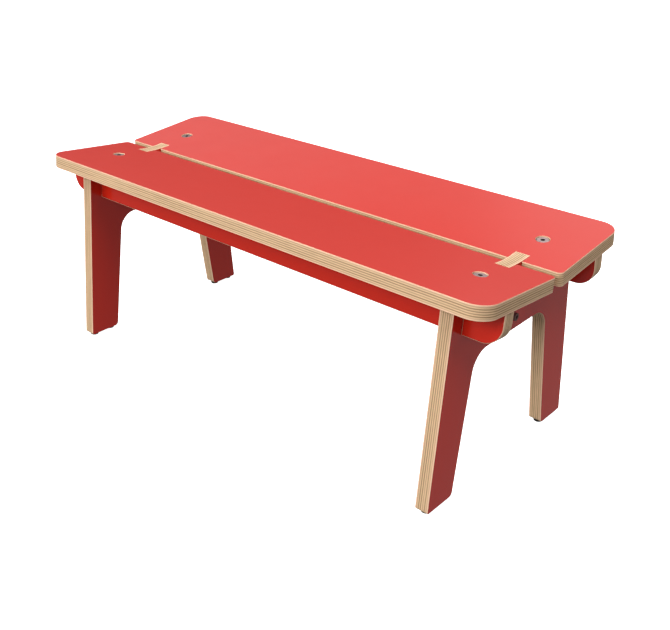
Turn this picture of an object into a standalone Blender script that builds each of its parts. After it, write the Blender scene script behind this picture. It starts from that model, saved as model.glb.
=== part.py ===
"""A low children's bench of red-faced birch plywood, knocked together from flat panels.

Metres, +Z up. X runs along the seat and Y across it, and the origin is on the floor under
the middle of the bench. The two seat boards slope down to the middle line. Whatever meets
them is laid out from a seat board: s is the distance out from the board's inner edge, and
d is the depth below its top face, square to it.
"""

import math

import bmesh
import bpy
from mathutils import Matrix, Vector

# Stock, and the clearance between two pieces that touch
PLY = 0.018
GAP = 0.0003

# Seat boards
SEAT_LENGTH = 0.7644
BOARD_WIDTH = 0.1469
BOARD_SLOPE = math.radians(5.55)
MIDDLE_GAP = 0.0103
SEAT_LOW_POINT = 0.2728
BOARD_OUTER_RADIUS = 0.025
BOARD_INNER_RADIUS = 0.006

# End frames: one panel each, with two splayed legs, a crossbar and a tab in the middle
FRAME_X = 0.3225
LEG_EDGE_S = 0.122
FOOT_INNER_Y = 0.1045
LEG_INNER_LEAN = math.radians(8.2)
FOOT_INNER_RADIUS = 0.0065
FOOT_OUTER_RADIUS = 0.003
CROSSBAR_UNDERSIDE = 0.1862
ARCH_RADIUS = 0.0275
TAB_S = 0.0173
TAB_ARC_STEPS = 5

# Rails under the boards, half-lapped into the end frames
RAIL_LENGTH = 0.7622
RAIL_HEIGHT = 0.0407
RAIL_OUTER_S = 0.10265
RAIL_END_RADIUS = 0.025
RAIL_TOP_RADIUS = 0.001

# Centre stretcher between the end frames
STRETCHER_HEIGHT = 0.0365

# Seat bolts: flat heads sunk in the boards, screwed into barrel nuts in the end frames
BOLT_S = 0.0631
BOLT_HEAD_RADIUS = 0.0078
BOLT_HEAD_THICKNESS = 0.002
BOLT_HEAD_EDGE = 0.0003
BOLT_HEAD_DEPTH = 0.001
BOLT_LENGTH = 0.048
BOLT_TIP = 0.001
COUNTERBORE_RADIUS = 0.009
NUT_DEPTH = 0.043

# Stretcher screws: low round heads outside the end frames, screwed into barrel nuts in the stretcher
SCREW_HEAD_RADIUS = 0.005
SCREW_HEAD_HEIGHT = 0.004
SCREW_HEAD_EDGE = 0.0005
SCREW_LENGTH = 0.045
SCREW_NUT_INSET = 0.020

# What the bolts and the screws share
SHANK_RADIUS = 0.0029
CLEAR_HOLE_RADIUS = 0.0035
SOCKET_ACROSS_FLATS = 0.004
SOCKET_DEPTH = 0.003
NUT_RADIUS = 0.0049
NUT_LENGTH = 0.014
NUT_HOLE_RADIUS = 0.0052
NUT_THREAD_RADIUS = 0.0033
NUT_SLOT_WIDTH = 0.0012
NUT_SLOT_DEPTH = 0.0015
HOLE_OVERRUN = 0.003

# Glides: rubber buttons with a stem, two under each leg
GLIDE_HEIGHT = 0.0038
GLIDE_RADIUS = 0.006
GLIDE_EDGE = 0.001
GLIDE_STEM_RADIUS = 0.0024
GLIDE_STEM_LENGTH = 0.010
GLIDE_CENTRE_Y = 0.129
GLIDE_SPREAD = 0.015

# Facets of round shapes
ARC_STEP = math.radians(9)
ROUND_STEPS = 24
HOLE_STEPS = 20

ENDS = (("right", 1), ("left", -1))
SIDES = (("front", -1), ("rear", 1))


def seat_point(x, s, depth, side=1):
    """The world point at x along the seat, s out from a board's inner edge and depth below its top."""
    y = MIDDLE_GAP / 2 + s * math.cos(BOARD_SLOPE) + depth * math.sin(BOARD_SLOPE)
    z = SEAT_LOW_POINT + s * math.sin(BOARD_SLOPE) - depth * math.cos(BOARD_SLOPE)
    return Vector((x, side * y, z))


def seat_normal(side):
    return Vector((0, -side * math.sin(BOARD_SLOPE), math.cos(BOARD_SLOPE)))


def profile_point(s, depth):
    """The same point as a corner of the end frame's outline, which is drawn in Y and Z."""
    point = seat_point(0, s, depth)
    return (point.y, point.z, 0)


# Scene and materials


def clear_scene():
    for thing in list(bpy.data.objects):
        bpy.data.objects.remove(thing, do_unlink=True)


def make_collection(name):
    collection = bpy.data.collections.new(name)
    bpy.context.scene.collection.children.link(collection)
    return collection


def make_material(name, colour, roughness, metallic=0.0):
    material = bpy.data.materials.new(name)
    material.use_nodes = True
    shader = material.node_tree.nodes["Principled BSDF"]
    shader.inputs["Base Color"].default_value = (*colour, 1)
    shader.inputs["Roughness"].default_value = roughness
    shader.inputs["Metallic"].default_value = metallic
    return material


# Outlines


def corner_arc(before, corner, after, radius):
    """The points of the arc that rounds a corner between its two neighbours."""
    back = (before - corner).normalized()
    ahead = (after - corner).normalized()
    half_angle = back.angle(ahead) / 2
    centre = corner + (back + ahead).normalized() * radius / math.sin(half_angle)
    start = corner + back * radius / math.tan(half_angle) - centre
    sweep = math.pi - 2 * half_angle
    if back.cross(ahead) > 0:
        sweep = -sweep
    steps = max(2, math.ceil(abs(sweep) / ARC_STEP))
    return [centre + Matrix.Rotation(sweep * step / steps, 2) @ start for step in range(steps + 1)]


def rounded_outline(corners):
    """The points of an outline whose corners are (x, y, radius)."""
    points = []
    for index, (x, y, radius) in enumerate(corners):
        corner = Vector((x, y))
        if radius == 0:
            points.append(corner)
            continue
        before = Vector(corners[index - 1][:2])
        after = Vector(corners[(index + 1) % len(corners)][:2])
        points += corner_arc(before, corner, after, radius)
    return points


def mirrored(half):
    """A whole outline from the corners of its +X half, listed from mirror line to mirror line."""
    return half + [(-x, y, radius) for x, y, radius in reversed(half)]


def board_outline():
    """A seat board, in x and s: round outer corners, and a notch for each end frame's tab."""
    notch_near = FRAME_X - PLY / 2 - GAP
    notch_far = FRAME_X + PLY / 2 + GAP
    notch_depth = TAB_S + GAP
    return mirrored([
        (notch_near, 0, 0),
        (notch_near, notch_depth, 0),
        (notch_far, notch_depth, 0),
        (notch_far, 0, 0),
        (SEAT_LENGTH / 2, 0, BOARD_INNER_RADIUS),
        (SEAT_LENGTH / 2, BOARD_WIDTH, BOARD_OUTER_RADIUS),
    ])


def frame_outline():
    """An end frame, in Y and Z: arch, foot, leg, slot for the rail, shoulder and dished tab."""
    arch_y = FOOT_INNER_Y - (CROSSBAR_UNDERSIDE - GLIDE_HEIGHT) * math.tan(LEG_INNER_LEAN)
    leg_top = seat_point(0, LEG_EDGE_S, 0)
    foot_outer_y = leg_top.y + (leg_top.z - GLIDE_HEIGHT) * math.tan(BOARD_SLOPE)
    shoulder = PLY + GAP
    slot_bottom = PLY + (RAIL_HEIGHT + GAP) / 2
    slot_outer = RAIL_OUTER_S + GAP
    slot_inner = RAIL_OUTER_S - PLY - GAP
    return mirrored([
        (arch_y, CROSSBAR_UNDERSIDE, ARCH_RADIUS),
        (FOOT_INNER_Y, GLIDE_HEIGHT, FOOT_INNER_RADIUS),
        (foot_outer_y, GLIDE_HEIGHT, FOOT_OUTER_RADIUS),
        profile_point(LEG_EDGE_S, shoulder),
        profile_point(slot_outer, shoulder),
        profile_point(slot_outer, slot_bottom),
        profile_point(slot_inner, slot_bottom),
        profile_point(slot_inner, shoulder),
        profile_point(TAB_S, shoulder),
        *tab_arc(),
    ])


def tab_arc():
    """The tab's dished top, from its edge to near the middle line: an arc that meets both board tops."""
    edge_y, edge_z, _ = profile_point(TAB_S, 0)
    radius = edge_y / math.sin(BOARD_SLOPE)
    centre_z = edge_z + radius * math.cos(BOARD_SLOPE)
    corners = []
    for step in range(TAB_ARC_STEPS, 0, -1):
        angle = BOARD_SLOPE * (2 * step - 1) / (2 * TAB_ARC_STEPS - 1)
        corners.append((radius * math.sin(angle), centre_z - radius * math.cos(angle), 0))
    return corners


def rail_outline():
    """A rail, in x and height above its lower edge: rounded lower ends, and a notch over each end frame."""
    notch_near = FRAME_X - PLY / 2 - GAP
    notch_far = FRAME_X + PLY / 2 + GAP
    notch_top = (RAIL_HEIGHT + GAP) / 2
    return mirrored([
        (notch_near, 0, 0),
        (notch_near, notch_top, 0),
        (notch_far, notch_top, 0),
        (notch_far, 0, 0),
        (RAIL_LENGTH / 2, 0, RAIL_END_RADIUS),
        (RAIL_LENGTH / 2, RAIL_HEIGHT - GAP, RAIL_TOP_RADIUS),
    ])


def stretcher_outline():
    """The stretcher, in x and height: it fills the length between the end frames."""
    half_length = FRAME_X - PLY / 2 - GAP
    return mirrored([
        (half_length, -STRETCHER_HEIGHT / 2, 0),
        (half_length, STRETCHER_HEIGHT / 2, 0),
    ])


# Solids


def add_object(name, mesh, collection, material=None):
    thing = bpy.data.objects.new(name, mesh)
    collection.objects.link(thing)
    if material:
        mesh.materials.append(material)
    return thing


def add_panel(name, outline, collection, material):
    """A closed slab of plywood with this outline, centred on its own thickness."""
    curve = bpy.data.curves.new(name, "CURVE")
    curve.dimensions = "2D"
    curve.fill_mode = "BOTH"
    curve.extrude = PLY / 2
    spline = curve.splines.new("POLY")
    spline.points.add(len(outline) - 1)
    for control, point in zip(spline.points, outline):
        control.co = (point.x, point.y, 0, 1)
    spline.use_cyclic_u = True
    drawn = bpy.data.objects.new(name + "_outline", curve)
    bpy.context.scene.collection.objects.link(drawn)
    graph = bpy.context.evaluated_depsgraph_get()
    mesh = bpy.data.meshes.new_from_object(drawn.evaluated_get(graph))
    bpy.data.objects.remove(drawn, do_unlink=True)
    shape = bmesh.new()
    shape.from_mesh(mesh)
    bmesh.ops.remove_doubles(shape, verts=shape.verts, dist=0.00001)
    bmesh.ops.recalc_face_normals(shape, faces=shape.faces)
    shape.to_mesh(mesh)
    shape.free()
    mesh.name = name
    mesh.materials.clear()
    return add_object(name, mesh, collection, material)


def add_turned(name, profile, collection, material):
    """A solid turned about its own Z, from (radius, height) points that run down its outer side."""
    mesh = bpy.data.meshes.new(name)
    points = [(radius, 0, height) for radius, height in profile]
    mesh.from_pydata(points, [(i, i + 1) for i in range(len(points) - 1)], [])
    turned = add_object(name, mesh, collection, material)
    screw = turned.modifiers.new("turn", "SCREW")
    screw.steps = ROUND_STEPS
    screw.render_steps = ROUND_STEPS
    screw.use_merge_vertices = True
    screw.merge_threshold = 0.00001
    screw.use_smooth_shade = True
    return turned


def add_cylinder(name, radius, start, end, collection, material=None, sides=HOLE_STEPS):
    """A cylinder, or a prism with this many sides, that runs from one point to another."""
    axis = end - start
    mesh = bpy.data.meshes.new(name)
    shape = bmesh.new()
    bmesh.ops.create_cone(
        shape, cap_ends=True, segments=sides, radius1=radius, radius2=radius, depth=axis.length
    )
    shape.to_mesh(mesh)
    shape.free()
    cylinder = add_object(name, mesh, collection, material)
    cylinder.location = (start + end) / 2
    cylinder.rotation_euler = axis.to_track_quat("Z", "Y").to_euler()
    return cylinder


def add_block(name, size, collection):
    mesh = bpy.data.meshes.new(name)
    shape = bmesh.new()
    bmesh.ops.create_cube(shape, size=1)
    bmesh.ops.scale(shape, vec=size, verts=shape.verts)
    shape.to_mesh(mesh)
    shape.free()
    return add_object(name, mesh, collection)


def cut(piece, cutter):
    """Takes the cutter's shape out of the piece."""
    cutter.hide_render = True
    cutter.display_type = "WIRE"
    boolean = piece.modifiers.new(cutter.name, "BOOLEAN")
    boolean.operation = "DIFFERENCE"
    boolean.solver = "EXACT"
    boolean.object = cutter


def drill(piece, label, radius, start, end, cutters):
    cut(piece, add_cylinder(f"{piece.name}_{label}", radius, start, end, cutters))


def stand_on(piece, point, up):
    """Puts a turned piece's origin at the point and its Z along up."""
    piece.location = point
    piece.rotation_euler = up.to_track_quat("Z", "Y").to_euler()


# Sub-parts


def add_seat_boards(parts, cutters):
    material = make_material("seat_board_red", (0.55, 0.024, 0.012), 0.3)
    for side_name, side in SIDES:
        board = add_panel(f"seat_board_{side_name}", rounded_outline(board_outline()), parts, material)
        board.location = seat_point(0, 0, PLY / 2, side)
        board.rotation_euler = (BOARD_SLOPE, 0, 0 if side > 0 else math.pi)
        for end_name, end in ENDS:
            drill_seat_board(board, end_name, end * FRAME_X, side, cutters)


def drill_seat_board(board, end_name, x, side, cutters):
    above = seat_point(x, BOLT_S, -HOLE_OVERRUN, side)
    sunk = seat_point(x, BOLT_S, BOLT_HEAD_DEPTH + BOLT_HEAD_THICKNESS + GAP, side)
    below = seat_point(x, BOLT_S, PLY + HOLE_OVERRUN, side)
    drill(board, f"counterbore_{end_name}", COUNTERBORE_RADIUS, above, sunk, cutters)
    drill(board, f"bolt_hole_{end_name}", CLEAR_HOLE_RADIUS, above, below, cutters)


def add_end_frames(parts, cutters):
    material = make_material("end_frame_red", (0.55, 0.024, 0.012), 0.25)
    for end_name, end in ENDS:
        frame = add_panel(f"end_frame_{end_name}", rounded_outline(frame_outline()), parts, material)
        frame.location = (end * FRAME_X, 0, 0)
        frame.rotation_euler = (math.pi / 2, 0, end * math.pi / 2)
        drill_frame_for_stretcher(frame, end, cutters)
        for side_name, side in SIDES:
            drill_frame_for_seat_bolt(frame, side_name, end, side, cutters)
            for glide_name, glide_y in glide_places(side):
                foot = Vector((end * FRAME_X, glide_y, GLIDE_HEIGHT))
                top = foot + Vector((0, 0, GLIDE_STEM_LENGTH + GAP))
                under = foot - Vector((0, 0, HOLE_OVERRUN))
                label = f"stem_hole_{side_name}_{glide_name}"
                drill(frame, label, GLIDE_STEM_RADIUS + GAP, under, top, cutters)


def drill_frame_for_seat_bolt(frame, side_name, end, side, cutters):
    x = end * FRAME_X
    above = seat_point(x, BOLT_S, PLY - HOLE_OVERRUN, side)
    blind = seat_point(x, BOLT_S, BOLT_HEAD_DEPTH + BOLT_LENGTH + HOLE_OVERRUN, side)
    drill(frame, f"bolt_hole_{side_name}", CLEAR_HOLE_RADIUS, above, blind, cutters)
    nut = seat_point(x, BOLT_S, NUT_DEPTH, side)
    inside = nut - Vector((end * (PLY / 2 + HOLE_OVERRUN), 0, 0))
    bottom = nut + Vector((end * (NUT_LENGTH / 2 + GAP), 0, 0))
    drill(frame, f"nut_hole_{side_name}", NUT_HOLE_RADIUS, inside, bottom, cutters)


def stretcher_centre_z():
    return CROSSBAR_UNDERSIDE + STRETCHER_HEIGHT / 2


def drill_frame_for_stretcher(frame, end, cutters):
    outside = Vector((end * (FRAME_X + PLY / 2 + HOLE_OVERRUN), 0, stretcher_centre_z()))
    inside = Vector((end * (FRAME_X - PLY / 2 - HOLE_OVERRUN), 0, stretcher_centre_z()))
    drill(frame, "stretcher_screw_hole", CLEAR_HOLE_RADIUS, outside, inside, cutters)


def add_rails(parts):
    material = make_material("rail_red", (0.55, 0.024, 0.012), 0.3)
    for side_name, side in SIDES:
        rail = add_panel(f"rail_{side_name}", rounded_outline(rail_outline()), parts, material)
        rail.location = seat_point(0, RAIL_OUTER_S - PLY / 2, PLY + RAIL_HEIGHT, side)
        rail.rotation_euler = (math.pi / 2 + BOARD_SLOPE, 0, 0 if side > 0 else math.pi)


def stretcher_nut_point(end):
    """The middle of the barrel nut at one end of the stretcher."""
    return Vector((end * (FRAME_X - PLY / 2 - SCREW_NUT_INSET), 0, stretcher_centre_z()))


def add_stretcher(parts, cutters):
    material = make_material("stretcher_red", (0.55, 0.024, 0.012), 0.3)
    stretcher = add_panel("centre_stretcher", rounded_outline(stretcher_outline()), parts, material)
    stretcher.location = (0, 0, stretcher_centre_z())
    stretcher.rotation_euler = (math.pi / 2, 0, 0)
    for end_name, end in ENDS:
        outside = Vector((end * FRAME_X, 0, stretcher_centre_z()))
        blind = outside - Vector((end * (SCREW_LENGTH - PLY / 2 + HOLE_OVERRUN), 0, 0))
        drill(stretcher, f"screw_hole_{end_name}", CLEAR_HOLE_RADIUS, outside, blind, cutters)
        nut = stretcher_nut_point(end)
        front = nut - Vector((0, PLY / 2 + HOLE_OVERRUN, 0))
        bottom = nut + Vector((0, NUT_LENGTH / 2 + GAP, 0))
        drill(stretcher, f"nut_hole_{end_name}", NUT_HOLE_RADIUS, front, bottom, cutters)


def cut_hex_socket(piece, point, up, cutters):
    """A hexagon socket in the top of a bolt or a screw."""
    corner_radius = SOCKET_ACROSS_FLATS / math.sqrt(3)
    start = point + up * HOLE_OVERRUN
    end = point - up * SOCKET_DEPTH
    cut(piece, add_cylinder(f"{piece.name}_socket", corner_radius, start, end, cutters, sides=6))


def shank_profile(length):
    """The plain shank below a head, down to its chamfered tip."""
    return [
        (SHANK_RADIUS, BOLT_TIP - length),
        (SHANK_RADIUS - BOLT_TIP, -length),
        (0, -length),
    ]


def add_seat_bolts(parts, cutters):
    material = make_material("seat_bolt_steel", (0.42, 0.39, 0.41), 0.35, 1.0)
    profile = [
        (0, 0),
        (BOLT_HEAD_RADIUS - BOLT_HEAD_EDGE, 0),
        (BOLT_HEAD_RADIUS, -BOLT_HEAD_EDGE),
        (BOLT_HEAD_RADIUS, -BOLT_HEAD_THICKNESS),
        (SHANK_RADIUS, -BOLT_HEAD_THICKNESS),
        *shank_profile(BOLT_LENGTH),
    ]
    for end_name, end in ENDS:
        for side_name, side in SIDES:
            bolt = add_turned(f"seat_bolt_{side_name}_{end_name}", profile, parts, material)
            top = seat_point(end * FRAME_X, BOLT_S, BOLT_HEAD_DEPTH, side)
            stand_on(bolt, top, seat_normal(side))
            cut_hex_socket(bolt, top, seat_normal(side), cutters)


def add_stretcher_screws(parts, cutters):
    material = make_material("stretcher_screw_black", (0.02, 0.02, 0.022), 0.4, 0.6)
    profile = [
        (0, SCREW_HEAD_HEIGHT),
        (SCREW_HEAD_RADIUS - SCREW_HEAD_EDGE, SCREW_HEAD_HEIGHT),
        (SCREW_HEAD_RADIUS, SCREW_HEAD_HEIGHT - SCREW_HEAD_EDGE),
        (SCREW_HEAD_RADIUS, 0),
        (SHANK_RADIUS, 0),
        *shank_profile(SCREW_LENGTH),
    ]
    for end_name, end in ENDS:
        screw = add_turned(f"stretcher_screw_{end_name}", profile, parts, material)
        out = Vector((end, 0, 0))
        rim = Vector((end * (FRAME_X + PLY / 2 + GAP), 0, stretcher_centre_z()))
        stand_on(screw, rim, out)
        cut_hex_socket(screw, rim + out * SCREW_HEAD_HEIGHT, out, cutters)


def add_barrel_nut(name, centre, axis, thread_axis, parts, cutters, material):
    """A cross dowel: a short round bar with a threaded hole across it and a slot in the end that shows."""
    half = axis * NUT_LENGTH / 2
    nut = add_cylinder(name, NUT_RADIUS, centre - half, centre + half, parts, material)
    nut.data.shade_smooth()
    nut.data.set_sharp_from_angle(angle=math.radians(30))
    across = thread_axis * (NUT_RADIUS + HOLE_OVERRUN)
    drill(nut, "thread", NUT_THREAD_RADIUS, centre - across, centre + across, cutters)
    slot_size = (2 * NUT_RADIUS + 2 * HOLE_OVERRUN, NUT_SLOT_WIDTH, 2 * NUT_SLOT_DEPTH)
    slot = add_block(f"{name}_slot", slot_size, cutters)
    stand_on(slot, centre + half, axis)
    cut(nut, slot)


def add_barrel_nuts(parts, cutters):
    material = make_material("barrel_nut_steel", (0.5, 0.5, 0.52), 0.35, 1.0)
    for end_name, end in ENDS:
        inward = Vector((-end, 0, 0))
        for side_name, side in SIDES:
            name = f"seat_nut_{side_name}_{end_name}"
            centre = seat_point(end * FRAME_X, BOLT_S, NUT_DEPTH, side)
            add_barrel_nut(name, centre, inward, seat_normal(side), parts, cutters, material)
        name = f"stretcher_nut_{end_name}"
        forward = Vector((0, -1, 0))
        add_barrel_nut(name, stretcher_nut_point(end), forward, inward, parts, cutters, material)


def glide_places(side):
    """The names and the Y of the two glides under one leg."""
    return (
        ("inner", side * (GLIDE_CENTRE_Y - GLIDE_SPREAD)),
        ("outer", side * (GLIDE_CENTRE_Y + GLIDE_SPREAD)),
    )


def add_glides(parts):
    material = make_material("glide_rubber", (0.015, 0.015, 0.015), 0.7)
    disc_top = GLIDE_HEIGHT - GAP
    profile = [
        (0, GLIDE_HEIGHT + GLIDE_STEM_LENGTH - GAP),
        (GLIDE_STEM_RADIUS, GLIDE_HEIGHT + GLIDE_STEM_LENGTH - GAP),
        (GLIDE_STEM_RADIUS, disc_top),
        (GLIDE_RADIUS, disc_top),
        (GLIDE_RADIUS, GLIDE_EDGE),
        (GLIDE_RADIUS - GLIDE_EDGE, 0),
        (0, 0),
    ]
    for end_name, end in ENDS:
        for side_name, side in SIDES:
            for glide_name, glide_y in glide_places(side):
                name = f"glide_{side_name}_{end_name}_{glide_name}"
                glide = add_turned(name, profile, parts, material)
                glide.location = (end * FRAME_X, glide_y, 0)


def main():
    clear_scene()
    parts = make_collection("plywood_bench")
    cutters = make_collection("cutters")
    add_seat_boards(parts, cutters)
    add_end_frames(parts, cutters)
    add_rails(parts)
    add_stretcher(parts, cutters)
    add_seat_bolts(parts, cutters)
    add_stretcher_screws(parts, cutters)
    add_barrel_nuts(parts, cutters)
    add_glides(parts)


main()
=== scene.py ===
"""The looks of the plywood bench: finished panels, turned fittings, materials, studio light and camera.

Metres, +Z up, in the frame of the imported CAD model. Each CAD node is replaced by a finer piece of
the same size, with rounded arrises and rims. Sizes come from the CAD boxes where a box gives them.
As in the CAD, s is the distance out from a seat board's inner edge, and depth is taken square to
its top face.
"""

import math

import bmesh
import bpy
from mathutils import Euler, Matrix, Vector


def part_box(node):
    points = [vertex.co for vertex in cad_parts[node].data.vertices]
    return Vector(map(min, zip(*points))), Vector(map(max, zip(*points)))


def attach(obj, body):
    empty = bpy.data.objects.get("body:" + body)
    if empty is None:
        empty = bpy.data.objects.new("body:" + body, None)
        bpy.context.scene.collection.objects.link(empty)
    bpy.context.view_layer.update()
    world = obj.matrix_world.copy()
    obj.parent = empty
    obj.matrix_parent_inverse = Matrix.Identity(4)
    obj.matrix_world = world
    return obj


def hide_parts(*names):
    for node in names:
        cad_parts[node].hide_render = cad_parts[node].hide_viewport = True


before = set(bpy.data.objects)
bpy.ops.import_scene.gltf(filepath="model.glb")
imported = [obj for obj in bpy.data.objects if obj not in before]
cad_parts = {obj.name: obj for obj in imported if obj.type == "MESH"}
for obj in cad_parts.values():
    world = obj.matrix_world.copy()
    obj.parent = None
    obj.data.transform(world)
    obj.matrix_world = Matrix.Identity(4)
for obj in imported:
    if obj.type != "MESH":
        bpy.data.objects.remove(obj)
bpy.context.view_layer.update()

# Panels
BOARD_SLOPE = math.radians(5.55)
GAP = 0.0003
ARRIS = 0.0006
ARRIS_STEPS = 4
BOARD_OUTER_RADIUS = 0.025
BOARD_INNER_RADIUS = 0.006
TAB_S = 0.0173
TAB_ARC_STEPS = 12

# End frames
LEG_EDGE_S = 0.122
FOOT_INNER_Y = 0.1045
LEG_INNER_LEAN = math.radians(8.2)
FOOT_INNER_RADIUS = 0.0065
FOOT_OUTER_RADIUS = 0.003
CROSSBAR_UNDERSIDE = 0.1862
ARCH_RADIUS = 0.0275

# Rails
RAIL_HEIGHT = 0.0407
RAIL_OUTER_S = 0.10265
RAIL_END_RADIUS = 0.025
RAIL_TOP_RADIUS = 0.0012
RAIL_ARRIS = 0.001

# Seat bolts and stretcher screws
BOLT_S = 0.0631
BOLT_HEAD_RADIUS = 0.0078
BOLT_HEAD_THICKNESS = 0.002
BOLT_HEAD_DEPTH = 0.001
BOLT_LENGTH = 0.048
COUNTERBORE_RADIUS = 0.0087
SCREW_HEAD_RADIUS = 0.005
SCREW_HEAD_HEIGHT = 0.004
SCREW_LENGTH = 0.045
SHANK_RADIUS = 0.0029
SHANK_TIP = 0.001
CLEAR_HOLE_RADIUS = 0.0035
HOLE_SPARE = 0.003
SOCKET_RADIUS = 0.0023
SOCKET_DEPTH = 0.003
SOCKET_WALL_SHARE = 0.8
SOCKET_SIDES = 6

# Barrel nuts and glides
NUT_DEPTH = 0.043
NUT_RADIUS = 0.0049
NUT_LENGTH = 0.014
NUT_HOLE_RADIUS = 0.0052
NUT_THREAD_RADIUS = 0.0033
NUT_SLOT = (0.016, 0.0012, 0.003)
GLIDE_HEIGHT = 0.0038
GLIDE_RADIUS = 0.006
GLIDE_STEM_RADIUS = 0.0024
GLIDE_STEM_LENGTH = 0.010

# How far the edges of turned pieces are rounded
BOLT_HEAD_EDGE = 0.0004
SCREW_HEAD_EDGE = 0.0007
NUT_EDGE = 0.0004
GLIDE_FOOT_EDGE = 0.0009
GLIDE_STEM_EDGE = 0.0005
SOFT_EDGE = 0.0003
FINE_EDGE = 0.0002

# Mesh fineness
ARC_STEP = math.radians(5)
PROFILE_STEP = math.radians(18)
TURNED_STEPS = 64
SHARP_ANGLE = math.radians(40)
FLATNESS = 1e-6

# Holes: the chamfer at a mouth, and how far a cutter reaches out of the piece it cuts
RIM = 0.00025
OVERRUN = 0.002

# Colours
RED = (0.54, 0.018, 0.007)
LIGHT_PLY = (0.67, 0.462, 0.278)
DARK_PLY = (0.33, 0.205, 0.108)
SANDED_PLY = (0.84, 0.545, 0.37)
LAMINATE_RIM = (0.4, 0.03, 0.02)
ZINC_PLATE = (0.41, 0.315, 0.31)
# Painted shade: the darker colour put inside the zinc bolts' hex sockets
ZINC_SOCKET_SHADE = (0.045, 0.03, 0.03)
BARREL_NUT_STEEL = (0.55, 0.55, 0.57)
BLACK_OXIDE = (0.2, 0.112, 0.1)
# Painted shade: the darker colour put inside the black screws' hex sockets
BLACK_OXIDE_SOCKET_SHADE = (0.13, 0.075, 0.06)
RUBBER = (0.013, 0.013, 0.013)

# Roughness
SEAT_ROUGHNESS = 0.3
FRAME_ROUGHNESS = 0.15
RAIL_ROUGHNESS = 0.12
WOOD_ROUGHNESS = 0.62
RIM_ROUGHNESS = 0.4
ZINC_ROUGHNESS = 0.5
NUT_ROUGHNESS = 0.35
BLACK_OXIDE_ROUGHNESS = 0.55
RUBBER_ROUGHNESS = 0.65

# Laminate: features to the metre, and how much of each shows
MOTTLE_SCALE = 14
MOTTLE_AMOUNT = 0.05
GLOSS_SCALE = 35
GLOSS_AMOUNT = 0.03
PEEL_SCALE = 700
PEEL_HEIGHT = 0.00002

# Plywood edges: lengths in metres, features to the metre, and how much of each shows.
# The plies follow a cosine through the panel, and PLY_LINE is where it turns from light to dark.
PLY_COUNT = 13
PLY_WANDER_SCALE = 30
PLY_WANDER = 0.0003
PLY_LINE = (0.5, -0.6)
PLY_STRENGTH_SCALE = 12
PLY_STRENGTH_STRETCH = (0.5, 0.5, 30)
PLY_STRENGTH = (-0.1, 1.9)
STREAK_SCALE = 70
STREAK_STRETCH = (1, 1, 35)
STREAK_AMOUNT = 0.7
PORE_SCALE = 1500
PORE_AMOUNT = 0.25
GRAIN_HEIGHT = 0.0001
SANDED_DEPTH = (0.0032, 0.0008)
SANDED_AMOUNT = 0.7
RIM_DEPTH = 0.00006
RIM_FADE = (1.3, 0.8)
WOOD_SPECULAR = 0.3

# Metal and rubber
TURNING_PITCH = 0.00022
TURNING_HEIGHT = 0.000004
METAL_MOTTLE_SCALE = 500
METAL_MOTTLE_AMOUNT = 0.3
METAL_GLOSS = (-0.06, 0.1)
BLACK_OXIDE_METALLIC = 0.5
BLOOM_SCALE = 160
BLOOM_SHADE = (0.6, 1.5)
BLOOM_GLOSS = 0.1
RUBBER_GRAIN_SCALE = 2500
RUBBER_GRAIN_HEIGHT = 0.00003
RUBBER_SPECULAR = 0.2

ENDS = (("right", 1), ("left", -1))
SIDES = (("front", -1), ("rear", 1))

# Camera and light
CAMERA_PLACE = (0.80907, -0.88597, 0.70884)
CAMERA_AZIMUTH = math.radians(42.56)
CAMERA_ELEVATION = math.radians(24.88)
CAMERA_LENS = 50.18
CAMERA_SENSOR = 36
CAMERA_SHIFT = (0.0477, -0.0583)
CAMERA_CLIP = 0.05

# Softboxes round the bench: name, azimuth and elevation in degrees, and power in watts.
# Azimuth 0 is straight in front of the bench, and it grows towards the right.
SOFTBOX_DISTANCE = 4.0
SOFTBOX_SIZE = 1.7
SOFTBOX_TARGET = Vector((0, 0, 0.15))
SOFTBOXES = (
    ("low_front", 0, 25, 39),
    ("low_left", -30, 25, 46),
    ("low_rear", 194, 32, 5),
    ("high_left", -30, 56, 38),
    ("high_right", 60, 60, 70),
    ("high_rear", 180, 58, 60),
)

# Softboxes that only light the bench, and leave no glare on it
UNREFLECTED_SOFTBOXES = ("low_front", "low_left")

# The room's glow in front and behind: its pale walls, and what a pale floor sends back up.
# The walls' foot, middle and top are sines of the elevation.
WALL_BAND = (0.15, 0.45, 0.75)
WALL_GLOW = (2.70, 0.66)
RIGHT_WALL_GLOW = 0.6
MOST_GLOW_IN_GLOSS = 1.2
NO_LIMIT = 100
FLOOR_GLOW = (0.22, 0.31)

# Floor and backdrop
BACKDROP_RADIUS = 9
BACKDROP_HEIGHT = 6
BACKDROP_CURVE = 3
BACKDROP_SCALE = 2
BACKDROP_SHADE = (0.79, 0.81)
BACKDROP_ROUGHNESS = 0.8
BACKDROP_SPECULAR = 0.2
BACKDROP_GLOW = 1.0


# Sizes that the CAD boxes give

board_low, board_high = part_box("seat_board_rear")
frame_low, frame_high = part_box("end_frame_right")
rail_low, rail_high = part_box("rail_rear")
stretcher_low, stretcher_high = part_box("centre_stretcher")

PLY = frame_high.x - frame_low.x
FRAME_X = (frame_high.x + frame_low.x) / 2
SEAT_LENGTH = board_high.x - board_low.x
BOARD_INNER_Y = board_low.y
BOARD_WIDTH = (board_high.y - board_low.y - PLY * math.sin(BOARD_SLOPE)) / math.cos(BOARD_SLOPE)
SEAT_LOW_POINT = board_high.z - BOARD_WIDTH * math.sin(BOARD_SLOPE)
RAIL_LENGTH = rail_high.x - rail_low.x


def seat_point(x, s, depth, side=1):
    y = BOARD_INNER_Y + s * math.cos(BOARD_SLOPE) + depth * math.sin(BOARD_SLOPE)
    z = SEAT_LOW_POINT + s * math.sin(BOARD_SLOPE) - depth * math.cos(BOARD_SLOPE)
    return Vector((x, side * y, z))


def seat_normal(side):
    return Vector((0, -side * math.sin(BOARD_SLOPE), math.cos(BOARD_SLOPE)))


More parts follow.
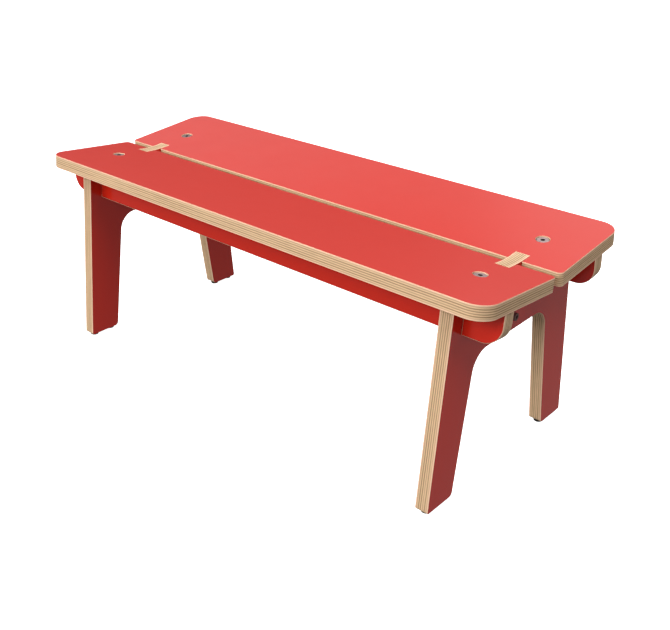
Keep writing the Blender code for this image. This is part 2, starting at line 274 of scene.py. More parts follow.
# Outlines


def corner_arc(before, corner, after, radius, step_angle):
    """The points of the arc that rounds a corner between its two neighbours."""
    back = (before - corner).normalized()
    ahead = (after - corner).normalized()
    half_angle = back.angle(ahead) / 2
    centre = corner + (back + ahead).normalized() * radius / math.sin(half_angle)
    start = corner + back * radius / math.tan(half_angle) - centre
    sweep = math.pi - 2 * half_angle
    steps = max(2, math.ceil(sweep / step_angle))
    if back.cross(ahead) > 0:
        sweep = -sweep
    return [centre + Matrix.Rotation(sweep * i / steps, 2) @ start for i in range(steps + 1)]


def rounded_outline(corners, step_angle=ARC_STEP):
    """The points of a closed outline whose corners are (x, y, radius)."""
    points = []
    for index, (x, y, radius) in enumerate(corners):
        corner = Vector((x, y))
        if radius == 0:
            points.append(corner)
            continue
        before = Vector(corners[index - 1][:2])
        after = Vector(corners[(index + 1) % len(corners)][:2])
        points += corner_arc(before, corner, after, radius, step_angle)
    return points


def mirrored(half):
    """A whole outline from the corners of its +X half."""
    return half + [(-x, y, radius) for x, y, radius in reversed(half)]


def profile_point(s, depth):
    """A point laid out from the seat, as a corner of the end frame's outline."""
    point = seat_point(0, s, depth)
    return (point.y, point.z, 0)


def board_outline():
    notch_near = FRAME_X - PLY / 2 - GAP
    notch_far = FRAME_X + PLY / 2 + GAP
    return mirrored([
        (notch_near, 0, 0),
        (notch_near, TAB_S + GAP, 0),
        (notch_far, TAB_S + GAP, 0),
        (notch_far, 0, 0),
        (SEAT_LENGTH / 2, 0, BOARD_INNER_RADIUS),
        (SEAT_LENGTH / 2, BOARD_WIDTH, BOARD_OUTER_RADIUS),
    ])


def frame_outline():
    arch_y = FOOT_INNER_Y - (CROSSBAR_UNDERSIDE - GLIDE_HEIGHT) * math.tan(LEG_INNER_LEAN)
    leg_top = seat_point(0, LEG_EDGE_S, 0)
    foot_outer_y = leg_top.y + (leg_top.z - GLIDE_HEIGHT) * math.tan(BOARD_SLOPE)
    shoulder = PLY + GAP
    slot_bottom = PLY + (RAIL_HEIGHT + GAP) / 2
    slot_outer = RAIL_OUTER_S + GAP
    slot_inner = RAIL_OUTER_S - PLY - GAP
    return mirrored([
        (arch_y, CROSSBAR_UNDERSIDE, ARCH_RADIUS),
        (FOOT_INNER_Y, GLIDE_HEIGHT, FOOT_INNER_RADIUS),
        (foot_outer_y, GLIDE_HEIGHT, FOOT_OUTER_RADIUS),
        profile_point(LEG_EDGE_S, shoulder),
        profile_point(slot_outer, shoulder),
        profile_point(slot_outer, slot_bottom),
        profile_point(slot_inner, slot_bottom),
        profile_point(slot_inner, shoulder),
        profile_point(TAB_S, shoulder),
        *tab_arc(),
    ])


def tab_arc():
    """The tab's dished top, from its edge to near the middle line."""
    edge_y, edge_z, _ = profile_point(TAB_S, 0)
    radius = edge_y / math.sin(BOARD_SLOPE)
    centre_z = edge_z + radius * math.cos(BOARD_SLOPE)
    corners = []
    for step in range(TAB_ARC_STEPS, 0, -1):
        angle = BOARD_SLOPE * (2 * step - 1) / (2 * TAB_ARC_STEPS - 1)
        corners.append((radius * math.sin(angle), centre_z - radius * math.cos(angle), 0))
    return corners


def rail_outline():
    notch_near = FRAME_X - PLY / 2 - GAP
    notch_far = FRAME_X + PLY / 2 + GAP
    notch_top = (RAIL_HEIGHT + GAP) / 2
    return mirrored([
        (notch_near, 0, 0),
        (notch_near, notch_top, 0),
        (notch_far, notch_top, 0),
        (notch_far, 0, 0),
        (RAIL_LENGTH / 2, 0, RAIL_END_RADIUS),
        (RAIL_LENGTH / 2, RAIL_HEIGHT - GAP, RAIL_TOP_RADIUS),
    ])


def stretcher_outline():
    half_length = (stretcher_high.x - stretcher_low.x) / 2
    half_height = (stretcher_high.z - stretcher_low.z) / 2
    return mirrored([(half_length, -half_height, 0), (half_length, half_height, 0)])


# Meshes


def counter_clockwise(outline):
    area = sum(a.cross(b) for a, b in zip(outline, outline[1:] + outline[:1]))
    return outline if area > 0 else outline[::-1]


def inset(outline, distance):
    """The outline moved inwards, with mitred corners."""
    moved = []
    for index, point in enumerate(outline):
        arriving = (point - outline[index - 1]).normalized()
        leaving = (outline[(index + 1) % len(outline)] - point).normalized()
        inward = Vector((-arriving.y - leaving.y, arriving.x + leaving.x))
        moved.append(point + inward * distance / (1 + arriving.dot(leaving)))
    return moved


def panel_section(arris):
    """(inset, height) down a panel's edge: a rounded arris, the flat edge and the other arris."""
    angles = [math.pi / 2 * step / ARRIS_STEPS for step in range(ARRIS_STEPS + 1)]
    upper = [(arris * (1 - math.sin(a)), PLY / 2 - arris * (1 - math.cos(a))) for a in angles]
    return upper + [(inwards, -height) for inwards, height in reversed(upper)]


def panel_mesh(name, corners, arris):
    """A slab of plywood centred on its own thickness, with every arris rounded."""
    outline = counter_clockwise(rounded_outline(corners))
    shape = bmesh.new()
    rings = []
    for inwards, height in panel_section(arris):
        ring = inset(outline, inwards)
        rings.append([shape.verts.new((point.x, point.y, height)) for point in ring])
    for upper, lower in zip(rings, rings[1:]):
        join_rings(shape, upper, lower)
    shape.faces.new(rings[0])
    shape.faces.new(rings[-1][::-1])
    return mesh_from(shape, name)


def join_rings(shape, upper, lower):
    """Faces between two rings of points, of which either may be a single point."""
    count = max(len(upper), len(lower))
    for index in range(count):
        after = (index + 1) % count
        corners = [
            lower[index % len(lower)],
            lower[after % len(lower)],
            upper[after % len(upper)],
            upper[index % len(upper)],
        ]
        face = [corner for place, corner in enumerate(corners) if corner != corners[place - 1]]
        shape.faces.new(face)


def turned_mesh(name, corners, steps=TURNED_STEPS):
    """A solid turned about its own Z, from (radius, height, rounding) corners down its outer side."""
    profile = rounded_outline(corners, PROFILE_STEP)
    shape = bmesh.new()
    rings = []
    for radius, height in profile:
        count = steps if radius > 0 else 1
        angles = [2 * math.pi * index / steps for index in range(count)]
        rings.append([
            shape.verts.new((radius * math.cos(angle), radius * math.sin(angle), height))
            for angle in angles
        ])
    for upper, lower in zip(rings, rings[1:]):
        join_rings(shape, upper, lower)
    return mesh_from(shape, name)


def block_mesh(name, size):
    shape = bmesh.new()
    bmesh.ops.create_cube(shape, size=1)
    bmesh.ops.scale(shape, vec=size, verts=shape.verts)
    return mesh_from(shape, name)


def mesh_from(shape, name):
    mesh = bpy.data.meshes.new(name)
    shape.to_mesh(mesh)
    shape.free()
    return mesh


def add_object(name, mesh, placement):
    thing = bpy.data.objects.new(name, mesh)
    bpy.context.scene.collection.objects.link(thing)
    thing.matrix_world = placement
    return thing


def standing(point, up):
    """The placement of a turned piece: its origin at the point and its Z along up."""
    return Matrix.Translation(point) @ up.to_track_quat("Z", "Y").to_matrix().to_4x4()


def panel_placement(point, angles):
    return Matrix.Translation(point) @ Euler(angles).to_matrix().to_4x4()


# Cutters


def hole_cutter(radius, start, end, open_end=False):
    """A round hole from one point to another, with a small chamfer at its mouth or at both ends."""
    length = (end - start).length
    foot = [(radius, -length, 0), (0, -length, 0)]
    if open_end:
        foot = [
            (radius, RIM - length, 0),
            (radius + RIM + OVERRUN, -length - OVERRUN, 0),
            (0, -length - OVERRUN, 0),
        ]
    mesh = turned_mesh("cutter", [
        (0, OVERRUN, 0),
        (radius + RIM + OVERRUN, OVERRUN, 0),
        (radius, -RIM, 0),
        *foot,
    ])
    return add_object("cutter", mesh, standing(start, start - end))


def counterbore_cutter(x, side):
    """The sunk seat of a bolt head with the hole for its shank."""
    floor_depth = BOLT_HEAD_DEPTH + BOLT_HEAD_THICKNESS + GAP
    mesh = turned_mesh("cutter", [
        (0, OVERRUN, 0),
        (COUNTERBORE_RADIUS + RIM + OVERRUN, OVERRUN, 0),
        (COUNTERBORE_RADIUS, -RIM, 0),
        (COUNTERBORE_RADIUS, -floor_depth, 0),
        (CLEAR_HOLE_RADIUS, -floor_depth, 0),
        (CLEAR_HOLE_RADIUS, RIM - PLY, 0),
        (CLEAR_HOLE_RADIUS + RIM + OVERRUN, -PLY - OVERRUN, 0),
        (0, -PLY - OVERRUN, 0),
    ])
    return add_object("cutter", mesh, standing(seat_point(x, BOLT_S, 0, side), seat_normal(side)))


def socket_cutter(point, up):
    """A hexagon socket with a chamfered mouth and a pointed floor."""
    mesh = turned_mesh("cutter", [
        (0, OVERRUN, 0),
        (SOCKET_RADIUS + RIM + OVERRUN, OVERRUN, 0),
        (SOCKET_RADIUS, -RIM, 0),
        (SOCKET_RADIUS, -SOCKET_WALL_SHARE * SOCKET_DEPTH, 0),
        (0, -SOCKET_DEPTH, 0),
    ], steps=SOCKET_SIDES)
    return add_object("cutter", mesh, standing(point, up))


def cut_and_settle(piece, cutters):
    """Cuts the piece and puts its mesh in the frame.

    The attribute own_place keeps each point's place in the piece before that.
    """
    for cutter in cutters:
        boolean = piece.modifiers.new("cut", "BOOLEAN")
        boolean.operation = "DIFFERENCE"
        boolean.solver = "EXACT"
        boolean.object = cutter
    bpy.context.view_layer.update()
    graph = bpy.context.evaluated_depsgraph_get()
    mesh = bpy.data.meshes.new_from_object(piece.evaluated_get(graph))
    piece.modifiers.clear()
    piece.data = mesh
    for cutter in cutters:
        bpy.data.objects.remove(cutter, do_unlink=True)
    keep_own_place(mesh)
    mesh.shade_smooth()
    mesh.set_sharp_from_angle(angle=SHARP_ANGLE)
    mesh.transform(piece.matrix_world)
    piece.matrix_world = Matrix.Identity(4)
    weighted = piece.modifiers.new("even_shading", "WEIGHTED_NORMAL")
    weighted.keep_sharp = True


def keep_own_place(mesh):
    """Z is the height through a panel from its middle, or along a turned piece's axis."""
    place = mesh.attributes.new("own_place", "FLOAT_VECTOR", "POINT")
    for vertex, value in zip(mesh.vertices, place.data):
        value.vector = vertex.co


def declare(piece, node):
    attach(piece, "root")
    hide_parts(node)


# Material nodes


def new_material(name):
    material = bpy.data.materials.new(name)
    material.use_nodes = True
    return material, material.node_tree


def add_node(tree, kind, inputs=None, **settings):
    """A node with its settings, and inputs given as numbers, colours or other nodes' outputs."""
    node = tree.nodes.new(kind)
    for key, value in settings.items():
        setattr(node, key, value)
    for key, value in (inputs or {}).items():
        if isinstance(value, bpy.types.NodeSocket):
            tree.links.new(value, node.inputs[key])
        else:
            node.inputs[key].default_value = value
    return node


def calculate(tree, operation, first, second=0.0, third=0.0, clamp=False):
    """The output of one math node."""
    node = add_node(
        tree, "ShaderNodeMath", {0: first, 1: second, 2: third}, operation=operation, use_clamp=clamp
    )
    return node.outputs[0]


def step_between(tree, value, low, high):
    """A smooth step from 0 to 1 as the value goes from low to high."""
    node = add_node(
        tree,
        "ShaderNodeMapRange",
        {"Value": value, "From Min": low, "From Max": high},
        interpolation_type="SMOOTHSTEP",
    )
    return node.outputs["Result"]


def remap(tree, value, low, high):
    """A value from 0 to 1 spread over low to high."""
    node = add_node(tree, "ShaderNodeMapRange", {"Value": value, "To Min": low, "To Max": high})
    return node.outputs["Result"]


def scale_vector(tree, vector, factors):
    """A vector with each of its three numbers multiplied by its own factor."""
    node = add_node(tree, "ShaderNodeVectorMath", {0: vector, 1: factors}, operation="MULTIPLY")
    return node.outputs["Vector"]


def shaded(tree, colour, shade):
    """A colour made lighter or darker by one number."""
    node = add_node(tree, "ShaderNodeVectorMath", {0: colour, "Scale": shade}, operation="SCALE")
    return node.outputs["Vector"]


def coordinate(tree, vector, axis):
    return add_node(tree, "ShaderNodeSeparateXYZ", {0: vector}).outputs[axis]


def own_place(tree):
    """Each point's place in its own piece, as cut_and_settle kept it."""
    return add_node(tree, "ShaderNodeAttribute", attribute_name="own_place").outputs["Vector"]


def mix_colours(tree, factor, first, second):
    """The first colour where the factor is 0, and the second where it is 1."""
    node = add_node(tree, "ShaderNodeMix", data_type="RGBA")
    for key, value in ((0, factor), (6, first), (7, second)):
        if isinstance(value, bpy.types.NodeSocket):
            tree.links.new(value, node.inputs[key])
        elif key == 0:
            node.inputs[key].default_value = value
        else:
            node.inputs[key].default_value = (*value, 1)
    return node.outputs[2]


def noise(tree, place, scale, detail=2.0, stretch=(1, 1, 1)):
    """Noise from 0 to 1 at this many features to the metre, squeezed along each axis by stretch."""
    scaled = scale_vector(tree, place, tuple(scale * part for part in stretch))
    inputs = {"Vector": scaled, "Scale": 1.0, "Detail": detail}
    return add_node(tree, "ShaderNodeTexNoise", inputs).outputs["Fac"]


def set_surface(tree, colour, roughness, bump=None, bump_height=0.0, **constants):
    """Feeds the Principled shader. Constants are set on its own sockets."""
    shader = tree.nodes["Principled BSDF"]
    for key, value in (("Base Color", colour), ("Roughness", roughness)):
        if isinstance(value, bpy.types.NodeSocket):
            tree.links.new(value, shader.inputs[key])
        else:
            shader.inputs[key].default_value = value
    if bump is not None:
        node = add_node(tree, "ShaderNodeBump", {"Height": bump, "Distance": bump_height})
        tree.links.new(node.outputs["Normal"], shader.inputs["Normal"])
    for key, value in constants.items():
        shader.inputs[key.replace("_", " ")].default_value = value


# Materials


def laminate(name, colour, roughness):
    """Smooth red laminate: faint mottling, a slight orange peel and uneven gloss."""
    material, tree = new_material(name)
    place = add_node(tree, "ShaderNodeTexCoord").outputs["Object"]
    mottle = noise(tree, place, MOTTLE_SCALE, detail=3)
    shade = remap(tree, mottle, 1 - MOTTLE_AMOUNT / 2, 1 + MOTTLE_AMOUNT / 2)
    unevenness = noise(tree, place, GLOSS_SCALE, detail=4)
    gloss = remap(tree, unevenness, roughness - GLOSS_AMOUNT, roughness + GLOSS_AMOUNT)
    peel = noise(tree, place, PEEL_SCALE)
    set_surface(tree, shaded(tree, colour, shade), gloss, peel, PEEL_HEIGHT)
    return material


def ply_edge(name):
    """A cut plywood edge: light and dark plies in turn, under the dark rim of the laminate.

    Next to the faces the wood is paler and pinker, where the arrises were sanded.
    """
    material, tree = new_material(name)
    place = own_place(tree)
    height = coordinate(tree, place, 2)
    below_face = calculate(tree, "SUBTRACT", PLY / 2, calculate(tree, "ABSOLUTE", height))
    streaks = noise(tree, place, STREAK_SCALE, detail=4, stretch=STREAK_STRETCH)
    pores = noise(tree, place, PORE_SCALE)
    grain = calculate(
        tree, "MULTIPLY_ADD", pores, PORE_AMOUNT, calculate(tree, "MULTIPLY", streaks, STREAK_AMOUNT)
    )
    tone = calculate(tree, "ADD", grain, 1 - (STREAK_AMOUNT + PORE_AMOUNT) / 2)
    wood = mix_colours(tree, dark_plies(tree, place, height), LIGHT_PLY, DARK_PLY)
    sanded = calculate(tree, "MULTIPLY", step_between(tree, below_face, *SANDED_DEPTH), SANDED_AMOUNT)
    wood = mix_colours(tree, sanded, shaded(tree, wood, tone), SANDED_PLY)
    rim = step_between(tree, below_face, *(RIM_DEPTH * share for share in RIM_FADE))
    colour = mix_colours(tree, rim, wood, LAMINATE_RIM)
    gloss = remap(tree, rim, WOOD_ROUGHNESS, RIM_ROUGHNESS)
    set_surface(tree, colour, gloss, grain, GRAIN_HEIGHT, Specular_IOR_Level=WOOD_SPECULAR)
    return material


def dark_plies(tree, place, height):
    """From 0 in the light plies to 1 in the dark ones, which waver a little and are not all as dark."""
    waver = calculate(
        tree, "MULTIPLY_ADD", noise(tree, place, PLY_WANDER_SCALE), PLY_WANDER, -PLY_WANDER / 2
    )
    level = calculate(tree, "DIVIDE", calculate(tree, "ADD", height, waver), PLY / PLY_COUNT)
    wave = calculate(tree, "COSINE", calculate(tree, "MULTIPLY", level, math.pi))
    variation = noise(tree, place, PLY_STRENGTH_SCALE, detail=1, stretch=PLY_STRENGTH_STRETCH)
    strength = remap(tree, variation, *PLY_STRENGTH)
    return calculate(tree, "MULTIPLY", step_between(tree, wave, *PLY_LINE), strength, clamp=True)


def turned_metal(name, colour, roughness, metallic=1.0, socket=None):
    """Turned steel: fine rings about its own axis, and a mottled finish.

    socket is the height of a socket's mouth and the colour of the shade painted inside it and round its
    mouth.
    """
    material, tree = new_material(name)
    place = own_place(tree)
    off_axis = scale_vector(tree, place, (1, 1, 0))
    radius = add_node(tree, "ShaderNodeVectorMath", {0: off_axis}, operation="LENGTH").outputs["Value"]
    rings = calculate(tree, "SINE", calculate(tree, "MULTIPLY", radius, 2 * math.pi / TURNING_PITCH))
    mottle = noise(tree, place, METAL_MOTTLE_SCALE, detail=3)
    shade = remap(tree, mottle, 1 - METAL_MOTTLE_AMOUNT / 2, 1 + METAL_MOTTLE_AMOUNT / 2)
    finish = shaded(tree, colour, shade)
    # Painted shade: the socket's inside and its mouth take a darker colour
    if socket is not None:
        mouth, socket_shade_colour = socket
        inside = socket_shade_mask(tree, coordinate(tree, place, 2), radius, mouth)
        finish = mix_colours(tree, inside, finish, socket_shade_colour)
    gloss = remap(tree, mottle, *(roughness + change for change in METAL_GLOSS))
    set_surface(tree, finish, gloss, rings, TURNING_HEIGHT, Metallic=metallic)
    return material


def socket_shade_mask(tree, height, radius, mouth):
    """Where shade is painted: 1 inside a socket whose mouth is at this height and round its mouth, and
    0 elsewhere.
    """
    floor = mouth - SOCKET_DEPTH
    above_floor = step_between(tree, height, floor - RIM, floor)
    within = step_between(tree, radius, SOCKET_RADIUS + 3 * RIM, SOCKET_RADIUS + RIM)
    return calculate(tree, "MULTIPLY", above_floor, within)


def moulded_rubber(name, colour, roughness):
    """Black rubber with a fine grain and a dusty bloom."""
    material, tree = new_material(name)
    place = add_node(tree, "ShaderNodeTexCoord").outputs["Object"]
    bloom = noise(tree, place, BLOOM_SCALE, detail=4)
    dusty = shaded(tree, colour, remap(tree, bloom, *BLOOM_SHADE))
    gloss = remap(tree, bloom, roughness - BLOOM_GLOSS, roughness + BLOOM_GLOSS)
    grain = noise(tree, place, RUBBER_GRAIN_SCALE)
    set_surface(tree, dusty, gloss, grain, RUBBER_GRAIN_HEIGHT, Specular_IOR_Level=RUBBER_SPECULAR)
    return material


def paint_panel(piece, face_material, edge_material):
    """Laminate on the two flat faces, and plywood on the rest."""
    mesh = piece.data
    mesh.materials.clear()
    mesh.materials.append(face_material)
    mesh.materials.append(edge_material)
    place = mesh.attributes["own_place"].data
    for face in mesh.polygons:
        on_face = all(abs(place[index].vector.z) > PLY / 2 - FLATNESS for index in face.vertices)
        face.material_index = 0 if on_face else 1


def paint(piece, material):
    piece.data.materials.clear()
    piece.data.materials.append(material)


# Pieces


def add_panel(node, corners, placement, cutters, materials, arris=ARRIS):
    piece = add_object(f"{node}_finished", panel_mesh(node, corners, arris), placement)
    cut_and_settle(piece, cutters)
    paint_panel(piece, *materials)
    declare(piece, node)


def add_turned(node, corners, placement, cutters, material):
    piece = add_object(f"{node}_finished", turned_mesh(node, corners), placement)
    cut_and_settle(piece, cutters)
    paint(piece, material)
    declare(piece, node)


def add_seat_boards(materials):
    for side_name, side in SIDES:
        node = f"seat_board_{side_name}"
        cutters = [counterbore_cutter(end * FRAME_X, side) for _, end in ENDS]
        angles = (BOARD_SLOPE, 0, 0 if side > 0 else math.pi)
        placement = panel_placement(seat_point(0, 0, PLY / 2, side), angles)
        add_panel(node, board_outline(), placement, cutters, materials)


def add_rails(materials):
    for side_name, side in SIDES:
        node = f"rail_{side_name}"
        angles = (math.pi / 2 + BOARD_SLOPE, 0, 0 if side > 0 else math.pi)
        foot = seat_point(0, RAIL_OUTER_S - PLY / 2, PLY + RAIL_HEIGHT, side)
        placement = panel_placement(foot, angles)
        add_panel(node, rail_outline(), placement, [], materials, RAIL_ARRIS)


def middle_of(node):
    low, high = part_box(node)
    return (low + high) / 2


def add_end_frames(materials):
    for end_name, end in ENDS:
        node = f"end_frame_{end_name}"
        cutters = [frame_screw_hole(end)]
        for side_name, side in SIDES:
            cutters += frame_bolt_holes(end, side)
            cutters += frame_stem_holes(end_name, side_name)
        placement = panel_placement((end * FRAME_X, 0, 0), (math.pi / 2, 0, end * math.pi / 2))
        add_panel(node, frame_outline(), placement, cutters, materials)


def frame_screw_hole(end):
    height = (stretcher_low.z + stretcher_high.z) / 2
    outside = Vector((end * (FRAME_X + PLY / 2), 0, height))
    inside = Vector((end * (FRAME_X - PLY / 2), 0, height))
    return hole_cutter(CLEAR_HOLE_RADIUS, outside, inside, open_end=True)


def frame_bolt_holes(end, side):
    """The blind hole for a seat bolt, and the hole for its barrel nut in the frame's inner face."""
    top = seat_point(end * FRAME_X, BOLT_S, PLY + GAP, side)
    blind = seat_point(end * FRAME_X, BOLT_S, BOLT_HEAD_DEPTH + BOLT_LENGTH + HOLE_SPARE, side)
    nut = seat_point(end * FRAME_X, BOLT_S, NUT_DEPTH, side)
    mouth = nut - Vector((end * PLY / 2, 0, 0))
    bottom = nut + Vector((end * (NUT_LENGTH / 2 + GAP), 0, 0))
    return [hole_cutter(CLEAR_HOLE_RADIUS, top, blind), hole_cutter(NUT_HOLE_RADIUS, mouth, bottom)]


def frame_stem_holes(end_name, side_name):
    holes = []
    for place in ("inner", "outer"):
        middle = middle_of(f"glide_{side_name}_{end_name}_{place}")
        foot = Vector((middle.x, middle.y, GLIDE_HEIGHT))
        top = foot + Vector((0, 0, GLIDE_STEM_LENGTH + GAP))
        holes.append(hole_cutter(GLIDE_STEM_RADIUS + GAP, foot, top))
    return holes


def add_stretcher(materials):
    cutters = []
    middle = middle_of("centre_stretcher")
    for end_name, end in ENDS:
        mouth = Vector((end * stretcher_high.x, middle.y, middle.z))
        blind = Vector((end * (FRAME_X + PLY / 2 - SCREW_LENGTH - HOLE_SPARE), middle.y, middle.z))
        nut = middle_of(f"stretcher_nut_{end_name}")
        front = Vector((nut.x, stretcher_low.y, nut.z))
        bottom = Vector((nut.x, nut.y + NUT_LENGTH / 2 + GAP, nut.z))
        cutters.append(hole_cutter(CLEAR_HOLE_RADIUS, mouth, blind))
        cutters.append(hole_cutter(NUT_HOLE_RADIUS, front, bottom))
    placement = panel_placement(middle, (math.pi / 2, 0, 0))
    add_panel("centre_stretcher", stretcher_outline(), placement, cutters, materials)


def shank_corners(length):
    return [
        (SHANK_RADIUS, SHANK_TIP - length, SOFT_EDGE),
        (SHANK_RADIUS - SHANK_TIP, -length, FINE_EDGE),
        (0, -length, 0),
    ]


def add_seat_bolts(material):
    corners = [
        (0, 0, 0),
        (BOLT_HEAD_RADIUS, 0, BOLT_HEAD_EDGE),
        (BOLT_HEAD_RADIUS, -BOLT_HEAD_THICKNESS, SOFT_EDGE),
        (SHANK_RADIUS, -BOLT_HEAD_THICKNESS, FINE_EDGE),
        *shank_corners(BOLT_LENGTH),
    ]
    for end_name, end in ENDS:
        for side_name, side in SIDES:
            node = f"seat_bolt_{side_name}_{end_name}"
            top = seat_point(end * FRAME_X, BOLT_S, BOLT_HEAD_DEPTH, side)
            up = seat_normal(side)
            socket = socket_cutter(top, up)
            add_turned(node, corners, standing(top, up), [socket], material)


def add_stretcher_screws(material):
    corners = [
        (0, SCREW_HEAD_HEIGHT, 0),
        (SCREW_HEAD_RADIUS, SCREW_HEAD_HEIGHT, SCREW_HEAD_EDGE),
        (SCREW_HEAD_RADIUS, 0, FINE_EDGE),
        (SHANK_RADIUS, 0, FINE_EDGE),
        *shank_corners(SCREW_LENGTH),
    ]
    height = (stretcher_low.z + stretcher_high.z) / 2
    for end_name, end in ENDS:
        node = f"stretcher_screw_{end_name}"
        out = Vector((end, 0, 0))
        base = Vector((end * (FRAME_X + PLY / 2 + GAP), 0, height))
        socket = socket_cutter(base + out * SCREW_HEAD_HEIGHT, out)
        add_turned(node, corners, standing(base, out), [socket], material)


def nut_cutters(centre, axis, thread_axis):
    across = thread_axis * NUT_RADIUS
    slot = block_mesh("cutter", NUT_SLOT)
    return [
        hole_cutter(NUT_THREAD_RADIUS, centre + across, centre - across, open_end=True),
        add_object("cutter", slot, standing(centre + axis * NUT_LENGTH / 2, axis)),
    ]


def add_barrel_nuts(material):
    half = NUT_LENGTH / 2
    corners = [(0, half, 0), (NUT_RADIUS, half, NUT_EDGE), (NUT_RADIUS, -half, NUT_EDGE), (0, -half, 0)]
    nuts = []
    for end_name, end in ENDS:
        inward = Vector((-end, 0, 0))
        nuts.append((f"stretcher_nut_{end_name}", Vector((0, -1, 0)), inward))
        for side_name, side in SIDES:
            nuts.append((f"seat_nut_{side_name}_{end_name}", inward, seat_normal(side)))
    for node, axis, thread_axis in nuts:
        centre = middle_of(node)
        cutters = nut_cutters(centre, axis, thread_axis)
        add_turned(node, corners, standing(centre, axis), cutters, material)


def add_glides(material):
    disc_top = GLIDE_HEIGHT - GAP
    corners = [
        (0, disc_top + GLIDE_STEM_LENGTH, 0),
        (GLIDE_STEM_RADIUS, disc_top + GLIDE_STEM_LENGTH, GLIDE_STEM_EDGE),
        (GLIDE_STEM_RADIUS, disc_top, FINE_EDGE),
        (GLIDE_RADIUS, disc_top, SOFT_EDGE),
        (GLIDE_RADIUS, 0, GLIDE_FOOT_EDGE),
        (0, 0, 0),
    ]
    for end_name, _ in ENDS:
        for side_name, _ in SIDES:
            for place in ("inner", "outer"):
                node = f"glide_{side_name}_{end_name}_{place}"
                middle = middle_of(node)
                foot = Matrix.Translation((middle.x, middle.y, 0))
                add_turned(node, corners, foot, [], material)


# Stage


def add_floor():
    """A pale floor that curves up into a backdrop.

    It neither lights nor shades the bench: the light from below comes from add_surroundings.
    """
    material, tree = new_material("pale_floor")
    place = add_node(tree, "ShaderNodeTexCoord").outputs["Object"]
    shade = remap(tree, noise(tree, place, BACKDROP_SCALE), *BACKDROP_SHADE)
    constants = {"Specular_IOR_Level": BACKDROP_SPECULAR, "Emission_Strength": BACKDROP_GLOW}
    set_surface(tree, shade, BACKDROP_ROUGHNESS, **constants)
    tree.nodes["Principled BSDF"].inputs["Emission Color"].default_value = (1, 1, 1, 1)
    corners = [
        (BACKDROP_RADIUS, BACKDROP_HEIGHT, 0),
        (BACKDROP_RADIUS, 0, BACKDROP_CURVE),
        (0, 0, 0),
    ]
    floor = add_object("floor", turned_mesh("floor", corners), Matrix.Identity(4))
    floor.data.shade_smooth()
    floor.data.materials.append(material)
    floor.visible_diffuse = False
    floor.visible_glossy = False
    floor.visible_shadow = False


def add_softbox(name, azimuth, elevation, power):
    lamp = bpy.data.lights.new(f"{name}_softbox", "AREA")
    lamp.shape = "SQUARE"
    lamp.size = SOFTBOX_SIZE
    lamp.energy = power
    softbox = bpy.data.objects.new(f"{name}_softbox", lamp)
    bpy.context.scene.collection.objects.link(softbox)
    turn = Euler((math.radians(90 - elevation), 0, math.radians(azimuth)))
    softbox.location = SOFTBOX_TARGET + turn.to_matrix() @ Vector((0, 0, SOFTBOX_DISTANCE))
    softbox.rotation_euler = turn
    softbox.visible_camera = False
    softbox.visible_glossy = name not in UNREFLECTED_SOFTBOXES


def add_surroundings():
    """A plain room as the bench sees it: a bright band of wall, and a glow from the floor."""
    world = bpy.data.worlds.new("studio")
    bpy.context.scene.world = world
    world.use_nodes = True
    tree = world.node_tree
    direction = add_node(tree, "ShaderNodeTexCoord").outputs["Generated"]
    height = coordinate(tree, direction, 2)
    level = scale_vector(tree, direction, (1, 1, 0))
    bearing = add_node(tree, "ShaderNodeVectorMath", {0: level}, operation="NORMALIZE").outputs[0]
    behind = calculate(tree, "MULTIPLY_ADD", coordinate(tree, bearing, 1), 0.5, 0.5)
    walls = wall_glow(tree, height, bearing, behind)
    below = calculate(tree, "LESS_THAN", height, 0)
    floor = calculate(tree, "MULTIPLY", below, remap(tree, behind, *FLOOR_GLOW))
    background = tree.nodes["Background"]
    background.inputs["Color"].default_value = (1, 1, 1, 1)
    tree.links.new(calculate(tree, "ADD", walls, floor), background.inputs["Strength"])


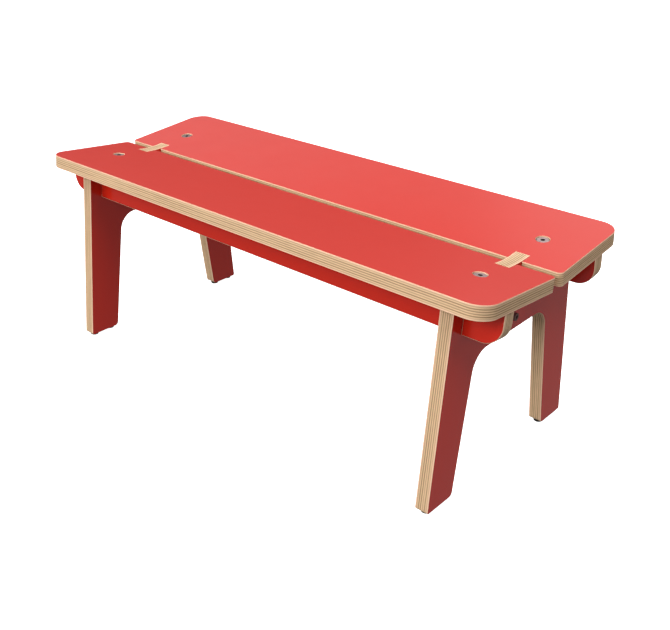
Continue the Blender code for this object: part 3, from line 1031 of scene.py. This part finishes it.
def wall_glow(tree, height, bearing, behind):
    """The walls' glow, dimmer to the right. Gloss shows no more of it than MOST_GLOW_IN_GLOSS."""
    foot, middle, top = WALL_BAND
    rising = step_between(tree, height, foot, middle)
    falling = step_between(tree, height, top, middle)
    band = calculate(tree, "MULTIPLY", rising, falling)
    right = calculate(tree, "MAXIMUM", coordinate(tree, bearing, 0), 0)
    dimmed = calculate(tree, "MULTIPLY", band, remap(tree, right, 1, RIGHT_WALL_GLOW))
    glow = calculate(tree, "MULTIPLY", dimmed, remap(tree, behind, *WALL_GLOW))
    in_gloss = add_node(tree, "ShaderNodeLightPath").outputs["Is Glossy Ray"]
    return calculate(tree, "MINIMUM", glow, remap(tree, in_gloss, NO_LIMIT, MOST_GLOW_IN_GLOSS))


def add_camera():
    camera = bpy.data.cameras.new("camera")
    camera.lens = CAMERA_LENS
    camera.sensor_width = CAMERA_SENSOR
    camera.shift_x, camera.shift_y = CAMERA_SHIFT
    camera.clip_start = CAMERA_CLIP
    viewer = bpy.data.objects.new("camera", camera)
    bpy.context.scene.collection.objects.link(viewer)
    viewer.location = CAMERA_PLACE
    viewer.rotation_euler = (math.pi / 2 - CAMERA_ELEVATION, 0, CAMERA_AZIMUTH)
    bpy.context.scene.camera = viewer


def main():
    edge = ply_edge("birch_ply_edge")
    seat = laminate("seat_laminate", RED, SEAT_ROUGHNESS)
    side = laminate("frame_laminate", RED, FRAME_ROUGHNESS)
    rail = laminate("rail_laminate", RED, RAIL_ROUGHNESS)
    # The bolts' and screws' sockets get painted shade
    zinc = turned_metal("zinc_plated_steel", ZINC_PLATE, ZINC_ROUGHNESS, socket=(0, ZINC_SOCKET_SHADE))
    nut = turned_metal("barrel_nut_steel", BARREL_NUT_STEEL, NUT_ROUGHNESS)
    black_socket_shade = (SCREW_HEAD_HEIGHT, BLACK_OXIDE_SOCKET_SHADE)
    black = turned_metal(
        "black_oxide_steel", BLACK_OXIDE, BLACK_OXIDE_ROUGHNESS, BLACK_OXIDE_METALLIC, black_socket_shade
    )
    rubber = moulded_rubber("glide_rubber", RUBBER, RUBBER_ROUGHNESS)
    add_seat_boards((seat, edge))
    add_end_frames((side, edge))
    add_rails((rail, edge))
    add_stretcher((rail, edge))
    add_seat_bolts(zinc)
    add_stretcher_screws(black)
    add_barrel_nuts(nut)
    add_glides(rubber)
    add_floor()
    for name, azimuth, elevation, power in SOFTBOXES:
        add_softbox(name, azimuth, elevation, power)
    add_surroundings()
    add_camera()
    bpy.context.scene.view_settings.view_transform = "Standard"


main()
